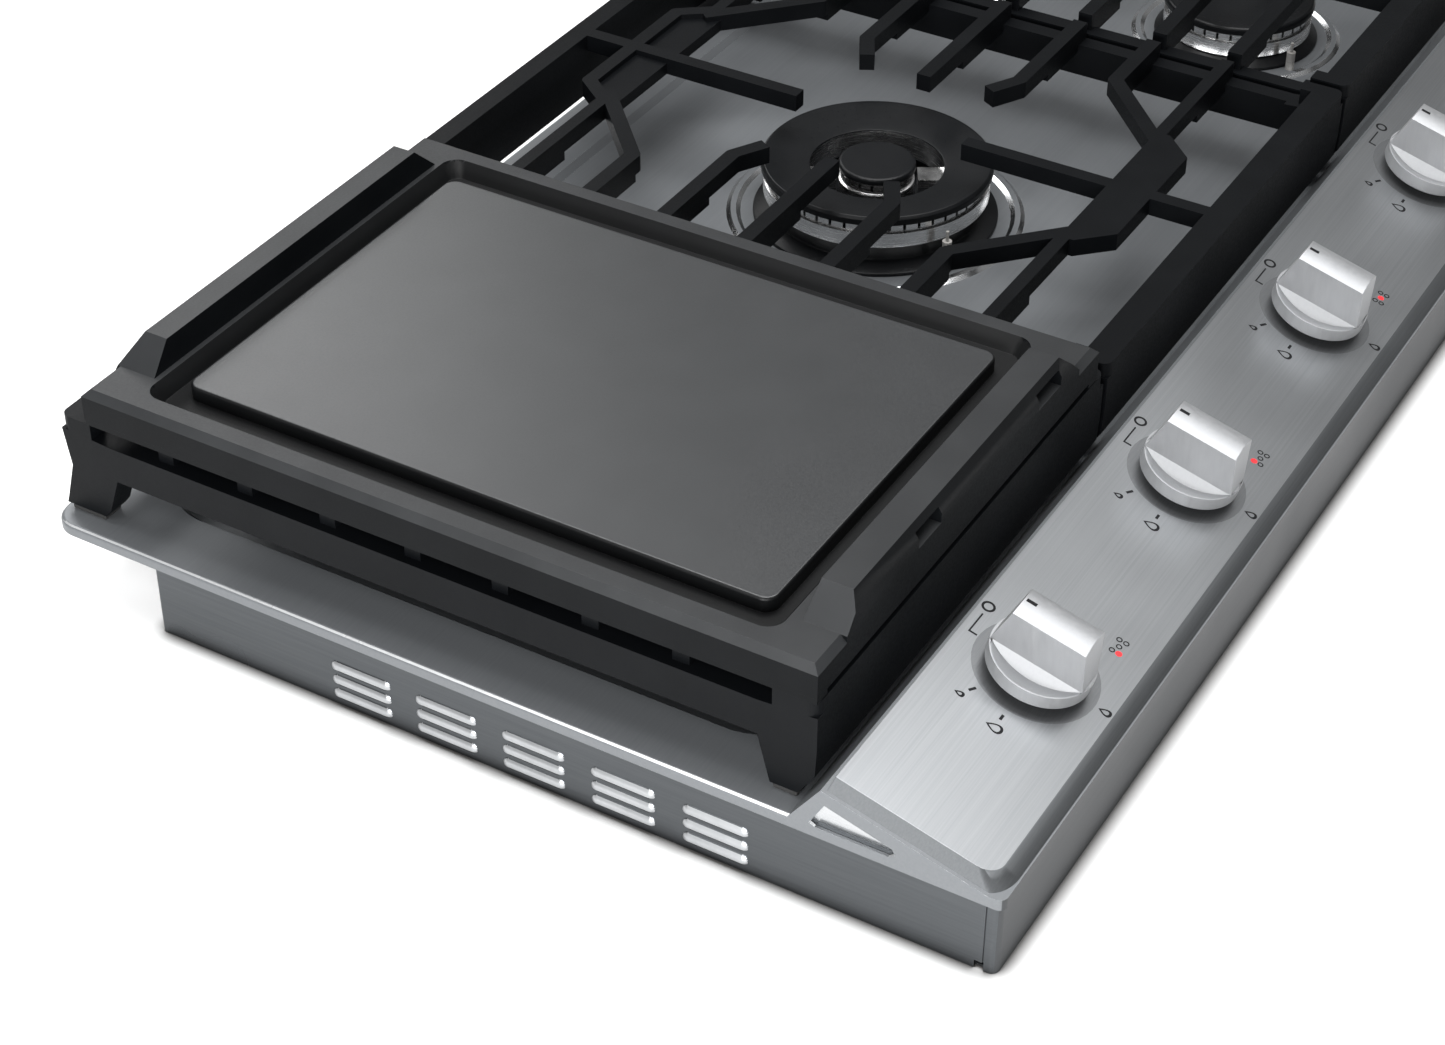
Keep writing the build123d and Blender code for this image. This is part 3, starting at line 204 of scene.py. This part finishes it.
# painted highlight: the crest of the pan's rolled lip and every rounded pan edge get a bright copy of the
# steel
EDGE_HIGHLIGHT_STEEL = brushed("edge_highlight_steel", (0.62, 0.63, 0.64), (0.70, 0.71, 0.72), 0.28, (60, 60, 60), 0.002, 0.7)
KNOB_METAL = turned_metal(
    "knob_metal", (0.33, 0.336, 0.346), (0.37, 0.376, 0.386), 0.54, 0.72,
    grain=(500, 500, 60), depth=0.002,
)
TRIM_POLISH = turned_metal("trim_polish", (0.50, 0.51, 0.52), (0.57, 0.58, 0.59), 0.24, depth=0.002)
GRATE_IRON = iron("grate_iron", (0.0024, 0.0028, 0.0034), (0.0034, 0.0039, 0.0046), 0.42, 0.014, 0.08)
GRIDDLE_IRON = iron("griddle_iron", (0.0019, 0.0023, 0.0028), (0.0029, 0.0034, 0.0040), 0.42, 0.014, 0.08)
# painted light: the griddle frame's faces that look up get a lighter, glossier copy of the griddle iron
TOP_LIT_IRON = iron("top_lit_iron", (0.015, 0.016, 0.0172), (0.020, 0.0212, 0.0225), 0.44, 0.014, 0.24)
PLATE_IRON = iron("plate_iron", (0.020, 0.0212, 0.0225), (0.023, 0.0243, 0.0257), 0.36, 0.005, 0.5)
# painted shade: the griddle's trough gets an iron far darker than the cooking plate
TROUGH_SHADE_IRON = iron("trough_shade_iron", (0.0022, 0.0024, 0.0027), (0.003, 0.0033, 0.0036), 0.45, 0.010, 0.2)
ENAMEL = iron("burner_enamel", (0.0045, 0.005, 0.0057), (0.006, 0.0065, 0.0073), 0.34, 0.004, 0.16)
BURNER_METAL = turned_metal("burner_metal", (0.70, 0.70, 0.70), (0.80, 0.80, 0.80), 0.24, depth=0.004)
BRASS = turned_metal("valve_brass", (0.55, 0.40, 0.17), (0.68, 0.50, 0.24), 0.3)
STEM_STEEL = turned_metal("stem_steel", (0.48, 0.48, 0.49), (0.6, 0.6, 0.61), 0.3)
PIPE_METAL = turned_metal("pipe_metal", (0.55, 0.55, 0.56), (0.66, 0.66, 0.67), 0.35)
ZINC = turned_metal("zinc_steel", (0.45, 0.46, 0.44), (0.6, 0.61, 0.58), 0.35, grain=(300, 300, 300))
RUBBER = moulded("foot_rubber", (0.012, 0.012, 0.012), (0.02, 0.02, 0.02), 0.75)
PLASTIC = moulded("module_plastic", (0.02, 0.02, 0.021), (0.032, 0.032, 0.033), 0.5)
CERAMIC = turned_metal("electrode_glaze", (0.26, 0.255, 0.245), (0.34, 0.33, 0.315), 0.3, metallic=0.0)
INK_BLACK = moulded("ink_black", (0.008, 0.008, 0.009), (0.012, 0.012, 0.013), 0.6, 0.1)
INK_RED = moulded("ink_red", (0.80, 0.014, 0.020), (0.86, 0.020, 0.028), 0.5)

SLOT_FINISH = {
    "pan_steel": PAN_STEEL, "box_steel": BOX_STEEL, "panel_steel": PANEL_STEEL, "knob_metal": KNOB_METAL,
    "trim_polish": TRIM_POLISH, "grate_iron": GRATE_IRON, "griddle_iron": GRIDDLE_IRON,
    "foot_rubber": RUBBER, "burner_metal": BURNER_METAL, "burner_enamel": ENAMEL, "valve_brass": BRASS,
    "stem_steel": STEM_STEEL, "pipe_metal": PIPE_METAL, "zinc_steel": ZINC, "module_plastic": PLASTIC,
    "electrode": CERAMIC,
}
NODE_SLOT = {entry["node"]: entry["material_slot"] for entry in frame["record"]["subparts"]}
BODIES = frame["record"]["behaviour"]["bodies"]
NODE_BODY = {node: body for body, members in BODIES.items() for node in members}
for node, obj in frame["nodes"].items():
    obj.data.materials.clear()
    obj.data.materials.append(SLOT_FINISH[NODE_SLOT[node]])


# ---- pieces -------------------------------------------------------------------------
def place_piece(obj, body):
    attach(obj, body)
    return obj


def mesh_piece(name, mesh_maker, finish, body, smooth=True):
    """New piece whose mesh is filled in by mesh_maker(bm), in the row frame."""
    mesh = bpy.data.meshes.new(name)
    bm = bmesh.new()
    mesh_maker(bm)
    bmesh.ops.recalc_face_normals(bm, faces=bm.faces)
    bm.to_mesh(mesh)
    bm.free()
    for polygon in mesh.polygons:
        polygon.use_smooth = smooth
    mesh.materials.append(finish)
    obj = bpy.data.objects.new(name, mesh)
    scene.collection.objects.link(obj)
    return place_piece(obj, body)


def softened(node, name, bevel, angle=32, segments=3):
    """Copy of a CAD node's shape with its hard edges rounded, which stands for the node."""
    source = frame["nodes"][node]
    mesh = source.data.copy()
    mesh.name = name
    bm = bmesh.new()
    bm.from_mesh(mesh)
    bmesh.ops.remove_doubles(bm, verts=bm.verts, dist=0.000004)
    bmesh.ops.dissolve_limit(
        bm, angle_limit=math.radians(0.6), use_dissolve_boundaries=False,
        verts=bm.verts, edges=bm.edges, delimit={"NORMAL"},
    )
    bmesh.ops.recalc_face_normals(bm, faces=bm.faces)
    bm.to_mesh(mesh)
    bm.free()
    for polygon in mesh.polygons:
        polygon.use_smooth = True
    obj = bpy.data.objects.new(name, mesh)
    scene.collection.objects.link(obj)
    rounding = obj.modifiers.new("rounding", "BEVEL")
    rounding.width = bevel * MM
    rounding.segments = segments
    rounding.limit_method = "ANGLE"
    rounding.angle_limit = math.radians(angle)
    rounding.use_clamp_overlap = True
    levelling = obj.modifiers.new("levelling", "WEIGHTED_NORMAL")
    levelling.mode = "FACE_AREA"
    levelling.weight = 80
    levelling.keep_sharp = True
    place_piece(obj, NODE_BODY[node])
    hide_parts(node)
    return obj


def repaint(obj, finishes, choose):
    """Give each face the finish that choose(centre, normal) names by number."""
    obj.data.materials.clear()
    for finish in finishes:
        obj.data.materials.append(finish)
    for polygon in obj.data.polygons:
        polygon.material_index = choose(polygon.center, polygon.normal)


# widths of the rounded edges, in millimetres
GRATE_EDGE = 2.4
PAD_EDGE = 0.8
GRIDDLE_EDGE = 1.2
CAP_EDGE = 0.9
HEAD_EDGE = 0.3
BASE_EDGE = 0.6
PAN_EDGE = 0.9
BOX_EDGE = 0.35
PANEL_EDGE = 0.8
KNOB_EDGE = 0.6

for side in ("left", "centre", "right"):
    softened(f"grate_{side}", f"grate_casting_{side}", GRATE_EDGE)
    softened(f"grate_feet_{side}", f"grate_pads_{side}", PAD_EDGE)
griddle_piece = softened("griddle", "griddle_casting", GRIDDLE_EDGE)
for name in BURNERS:
    softened(f"burner_cap_{name}", f"cap_casting_{name}", CAP_EDGE)
    softened(f"burner_head_{name}", f"head_casting_{name}", HEAD_EDGE, segments=2)
    softened(f"burner_base_{name}", f"base_pressing_{name}", BASE_EDGE)
softened("dual_ring_cap", "ring_cap_casting", CAP_EDGE)
softened("dual_inner_cap", "inner_cap_casting", CAP_EDGE)
softened("dual_outer_head", "outer_head_casting", HEAD_EDGE, segments=2)
softened("dual_inner_head", "inner_head_casting", HEAD_EDGE, segments=2)
softened("dual_burner_base", "dual_base_pressing", BASE_EDGE)
pan_piece = softened("top_pan", "pan_pressing", PAN_EDGE, angle=12)
box_piece = softened("burner_box", "box_pressing", BOX_EDGE, angle=35, segments=2)
panel_piece = softened("control_panel", "panel_plate", PANEL_EDGE, angle=30)
for number in KNOBS:
    softened(f"knob_{number}", f"knob_body_{number}", KNOB_EDGE, angle=28)


# ---- which face takes which finish --------------------------------------------------
GRIDDLE_LOW, GRIDDLE_HIGH = (Vector(v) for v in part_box("griddle"))
FRAME_TOP = GRIDDLE_LOW.z + 19.3 * MM
PLATE_TOP = FRAME_TOP - 0.4 * MM
TROUGH_INSET = 12.0 * MM
TROUGH_ENDS = 26.8 * MM
TROUGH_DEPTH = 9.0 * MM


def griddle_zone(centre, normal):
    """0 outer sides, 1 cooking plate, 2 trough with painted shade, 3 upward faces with a painted lighter
    tone.
    """
    if abs(centre.z - PLATE_TOP) < 0.2 * MM and normal.z > 0.9:
        return 1
    in_field = (
        GRIDDLE_LOW.x + TROUGH_INSET < centre.x < GRIDDLE_HIGH.x - TROUGH_INSET + 0.2 * MM
        and GRIDDLE_LOW.y + TROUGH_ENDS < centre.y < GRIDDLE_HIGH.y - TROUGH_ENDS + 0.5 * MM
    )
    if in_field and FRAME_TOP - TROUGH_DEPTH < centre.z < FRAME_TOP - 0.5 * MM:
        return 2
    return 3 if normal.z > 0.6 else 0


repaint(griddle_piece, (GRIDDLE_IRON, PLATE_IRON, TROUGH_SHADE_IRON, TOP_LIT_IRON), griddle_zone)

BEAD_OUTSIDE = 10.5 * MM
BEAD_HALF = 4.6 * MM
BEAD_FOOT = 42.3 * MM
BEAD_CREST = 44.4 * MM
BEADS = []
for node in ["dual_burner_base"] + [f"burner_base_{name}" for name in BURNERS]:
    low, high = (Vector(v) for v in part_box(node))
    BEADS.append(((low + high) / 2, (high.x - low.x) / 2 + BEAD_OUTSIDE))


PAN_LOW, PAN_HIGH = (Vector(v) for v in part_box("top_pan"))
BOX_LOW, BOX_HIGH = (Vector(v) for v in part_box("burner_box"))
HOOD_STAND = 1.6 * MM
FRONT_CORNER = 6.0 * MM
LIP_BAND = 2.4 * MM


def box_zone(centre, normal):
    """1 on a louvre's hood with a painted highlight, 2 on the front wall with painted shade, 0 elsewhere.
    """
    if abs(centre.x) > BOX_HIGH.x - 0.8 * HOOD_STAND:
        return 1
    return 2 if normal.y < -0.7 and centre.y < BOX_LOW.y + FRONT_CORNER else 0


repaint(box_piece, (BOX_STEEL, HOOD_HIGHLIGHT_STEEL, FRONT_SHADE_STEEL), box_zone)


def pan_zone(centre, normal):
    """1 bead round a burner, painted highlight; 2 crest of the rolled lip, painted highlight; 3 front
    edge, painted shade; 0 elsewhere.
    """
    on_lip = abs(centre.x) > PAN_HIGH.x - LIP_BAND or centre.y > PAN_HIGH.y - LIP_BAND
    if on_lip and 0.62 < normal.z < 0.92:
        return 2
    if normal.y < -0.6 and centre.y < PAN_LOW.y + LIP_BAND:
        return 3
    for middle, reach in BEADS:
        away = math.hypot(centre.x - middle.x, centre.y - middle.y)
        if abs(away - reach) < BEAD_HALF and BEAD_FOOT < centre.z < BEAD_CREST:
            return 1
    return 0


repaint(pan_piece, (PAN_STEEL, BEAD_HIGHLIGHT_STEEL, EDGE_HIGHLIGHT_STEEL, FRONT_SHADE_STEEL), pan_zone)
# painted highlight: the pan's rounded edges take the bright edge finish (slot 2)
pan_piece.modifiers["rounding"].material = 2

DISH_REACH = 31.0 * MM
KNOB_SPOTS = [Vector(JOINTS[f"knob_turn_{number}"]["pos_m"]) for number in KNOBS]


def panel_zone(centre, normal):
    """0 flat of the plate, 1 bevels with painted shade, 2 dish round a knob with painted shade."""
    for spot in KNOB_SPOTS:
        away = centre - spot
        if away.length < DISH_REACH and away.dot(PANEL_NORMAL) < -0.05 * MM:
            return 2
    return 0 if normal.dot(PANEL_NORMAL) > 0.985 else 1


repaint(panel_piece, (PANEL_STEEL, BEVEL_SHADE_STEEL, DISH_SHADE_STEEL), panel_zone)


# ---- printed marks on the panel and the knobs ---------------------------------------
PANEL_UP = Vector((0, math.cos(PANEL_TILT), math.sin(PANEL_TILT)))
INK_HEIGHT = 0.06


def flat_prism(bm, place, outline, low, high):
    """Prism over an outline of (u, v) millimetres between two heights on a local plane."""
    rings = []
    for height in (low, high):
        rings.append([bm.verts.new(place @ Vector((u * MM, v * MM, height * MM))) for u, v in outline])
    count = len(outline)
    bm.faces.new(rings[1])
    bm.faces.new(list(reversed(rings[0])))
    for i in range(count):
        after = (i + 1) % count
        bm.faces.new((rings[0][i], rings[0][after], rings[1][after], rings[1][i]))


def flat_ring(bm, place, outer, inner, low, high):
    """Closed band between two outlines with the same number of points."""
    loops = []
    for outline in (outer, inner):
        for height in (low, high):
            points = [place @ Vector((u * MM, v * MM, height * MM)) for u, v in outline]
            loops.append([bm.verts.new(point) for point in points])
    outer_low, outer_high, inner_low, inner_high = loops
    count = len(outer)
    for i in range(count):
        after = (i + 1) % count
        for first, second in (
            (outer_low, outer_high), (outer_high, inner_high),
            (inner_high, inner_low), (inner_low, outer_low),
        ):
            bm.faces.new((first[i], first[after], second[after], second[i]))


def round_outline(u, v, radius, count=24):
    """Circle round (u, v)."""
    return [
        (u + radius * math.cos(2 * math.pi * i / count), v + radius * math.sin(2 * math.pi * i / count))
        for i in range(count)
    ]


def flame_outline(u, v, height, inset=0.0, count=28):
    """Drop with a point at the top, height tall."""
    half = height / 2 - inset
    points = []
    for i in range(count):
        turn = 2 * math.pi * i / count
        width = 0.9 * half * math.sin(turn) * math.sin(turn / 2) ** 1.3
        points.append((u + width, v + half * math.cos(turn)))
    return points


def stroke(start, end, width):
    """Outline of a straight line from start to end."""
    run = Vector((end[0] - start[0], end[1] - start[1])).normalized() * width / 2
    side = (-run.y, run.x)
    return [
        (start[0] + side[0], start[1] + side[1]), (start[0] - side[0], start[1] - side[1]),
        (end[0] - side[0], end[1] - side[1]), (end[0] + side[0], end[1] + side[1]),
    ]


def knob_place(number):
    """Local frame on the panel's face at a knob: u along the panel, v up its slope."""
    spot = Vector(JOINTS[f"knob_turn_{number}"]["pos_m"])
    turn = Matrix((Vector((1, 0, 0)), PANEL_UP, PANEL_NORMAL)).transposed().to_4x4()
    return Matrix.Translation(spot) @ turn


# places round a knob in millimetres: u along the panel, v up its slope
OFF_STEM = ((0, 30.9), (0, 35.4))
OFF_LINE = ((-0.5, 35.0), (13.7, 35.0))
OFF_RING = (19.5, 35.0)
OFF_RADIUS = 3.4
OFF_HOLE = 2.2
TICKS = (
    ((-28.4, 16.4), (-31.8, 18.4)), ((-33.8, -0.5), (-37.2, -0.5)), ((35.0, 0.0), (38.0, 0.0)),
)
TICK_WIDTH = 1.4
FLAMES = ((-36.4, 20.8, 5.2), (-43.0, -0.5, 8.6), (0.5, -35.2, 6.8), (42.0, 0.0, 4.8))
FLAME_LINE = 1.4
KEY_MIDDLE = (41.1, -22.9)
KEY_STEPS = ((-4.1, -1.8), (-4.1, 1.8), (0.0, 0.0), (4.1, 1.8), (4.1, -1.8))
KEY_RADIUS = 1.55
KEY_LINE = 0.6
DOT_RADIUS = KEY_RADIUS + 0.15
POINTER = ((0, 11.9), (0, 17.0))
POINTER_WIDTH = 2.0
POINTER_LOW = 34.3
POINTER_TOP = 34.68


def legend(bm, place, number):
    """Off ring, lighting mark, three flame sizes, and the burner key without its red dot."""
    low, high = -INK_HEIGHT, INK_HEIGHT
    flat_prism(bm, place, stroke(*OFF_STEM, 1.0), low, high)
    flat_prism(bm, place, stroke(*OFF_LINE, 0.8), low, high)
    off = round_outline(*OFF_RING, OFF_RADIUS)
    flat_ring(bm, place, off, round_outline(*OFF_RING, OFF_HOLE), low, high)
    for tick in TICKS:
        flat_prism(bm, place, stroke(*tick, TICK_WIDTH), low, high)
    for flame in FLAMES:
        flat_ring(bm, place, flame_outline(*flame), flame_outline(*flame, FLAME_LINE), low, high)
    for i, (step_u, step_v) in enumerate(KEY_STEPS, start=1):
        if i != number:
            u, v = KEY_MIDDLE[0] + step_u, KEY_MIDDLE[1] + step_v
            outer = round_outline(u, v, KEY_RADIUS)
            flat_ring(bm, place, outer, round_outline(u, v, KEY_RADIUS - KEY_LINE), low, high)


def red_dot(bm, place, number):
    """Filled circle of the burner key for this knob's own burner."""
    step_u, step_v = KEY_STEPS[number - 1]
    dot = round_outline(KEY_MIDDLE[0] + step_u, KEY_MIDDLE[1] + step_v, DOT_RADIUS)
    flat_prism(bm, place, dot, -INK_HEIGHT, INK_HEIGHT)


for number in KNOBS:
    spot = knob_place(number)
    mesh_piece(
        f"legend_print_{number}", lambda bm: legend(bm, spot, number),
        INK_BLACK, "cooktop", False,
    )
    mesh_piece(
        f"burner_dot_{number}", lambda bm: red_dot(bm, spot, number),
        INK_RED, "cooktop", False,
    )
    bar = stroke(*POINTER, POINTER_WIDTH)
    mesh_piece(
        f"knob_pointer_{number}", lambda bm: flat_prism(bm, spot, bar, POINTER_LOW, POINTER_TOP),
        INK_BLACK, f"control_{number}", False,
    )


# ---- floor, light and camera --------------------------------------------------------
FLOOR_HALF = 6.0
FLOOR_WHITE = (0.55, 0.55, 0.55)
FLOOR_SHADE = (0.05, 0.047, 0.045)
FLOOR_GLOW = 0.42
SHADE_REACH = 0.011


def stage():
    """White floor with a painted contact shadow: darker, and glowing less, in a narrow band where the box
    stands on it.
    """
    mesh = bpy.data.meshes.new("floor")
    corners = [(x * FLOOR_HALF, y * FLOOR_HALF, 0) for x, y in ((-1, -1), (1, -1), (1, 1), (-1, 1))]
    mesh.from_pydata(corners, [], [(0, 1, 2, 3)])
    made = Finish("floor_white", FLOOR_WHITE, 0.6)
    made.roughen(made.ramp(made.noise((2, 2, 2)), 0, 1, 0.55, 0.65))
    # painted contact shadow: occlusion near the box darkens the floor colour and dims its glow
    near = made.nodes.new("ShaderNodeAmbientOcclusion")
    near.inputs["Distance"].default_value = SHADE_REACH
    clear = made.ramp(near.outputs["AO"], 0.5, 0.92, 0, 1)
    made.tint(clear, FLOOR_SHADE, FLOOR_WHITE)
    made.shader.inputs["Emission Color"].default_value = (1, 1, 1, 1)
    made.links.new(made.ramp(clear, 0, 1, 0, FLOOR_GLOW), made.shader.inputs["Emission Strength"])
    mesh.materials.append(made.material)
    floor = bpy.data.objects.new("floor", mesh)
    scene.collection.objects.link(floor)


def softbox(name, place, target, size, power):
    """Rectangular lamp at a place in metres, turned to face the target."""
    light = bpy.data.lights.new(name, "AREA")
    light.shape = "RECTANGLE"
    light.size, light.size_y = size
    light.energy = power
    obj = bpy.data.objects.new(name, light)
    scene.collection.objects.link(obj)
    obj.location = place
    obj.rotation_euler = (Vector(target) - Vector(place)).to_track_quat("-Z", "Y").to_euler()


WORLD_STRENGTH = 0.24


def world():
    """Even white surroundings."""
    made = bpy.data.worlds.new("studio")
    made.use_nodes = True
    made.node_tree.nodes["Background"].inputs["Color"].default_value = (1, 1, 1, 1)
    made.node_tree.nodes["Background"].inputs["Strength"].default_value = WORLD_STRENGTH
    scene.world = made


CAMERA_PLACE = Vector((-1256.3, -589.0, 901.7)) * MM
CAMERA_YAW, CAMERA_PITCH, CAMERA_ROLL = (math.radians(v) for v in (30.378, 37.531, 0.221))
CAMERA_LENS = 72.8


def camera():
    """Camera at the photograph's viewing angle."""
    ahead = Vector((
        math.cos(CAMERA_YAW) * math.cos(CAMERA_PITCH),
        math.sin(CAMERA_YAW) * math.cos(CAMERA_PITCH),
        -math.sin(CAMERA_PITCH),
    ))
    right = Vector((math.sin(CAMERA_YAW), -math.cos(CAMERA_YAW), 0))
    up = right.cross(ahead)
    across = right * math.cos(CAMERA_ROLL) + up * math.sin(CAMERA_ROLL)
    above = up * math.cos(CAMERA_ROLL) - right * math.sin(CAMERA_ROLL)
    turn = Matrix((across, above, -ahead)).transposed()
    data = bpy.data.cameras.new("camera")
    data.sensor_width = 36.0
    data.lens = CAMERA_LENS
    obj = bpy.data.objects.new("camera", data)
    scene.collection.objects.link(obj)
    obj.matrix_world = Matrix.Translation(CAMERA_PLACE) @ turn.to_4x4()
    scene.camera = obj


scene.view_settings.view_transform = "Standard"
stage()
world()
softbox("overhead", (0.1, 0.05, 2.3), (0, 0, 0), (2.2, 1.8), 88)
softbox("panel_glow", (1.25, -0.22, 1.8), (-0.2, -0.2, 0.05), (1.1, 0.9), 1.9)
softbox("rear_glow", (0.75, 1.6, 1.35), (-0.2, 0.1, 0.1), (1.2, 0.8), 14)
softbox("lip_glow", (-1.7, 0.1, 1.5), (-0.45, 0, 0.03), (1.4, 0.6), 16)
softbox("low_glow", (-1.5, -0.45, 0.42), (-0.45, -0.05, 0.04), (0.9, 0.3), 24)
camera()
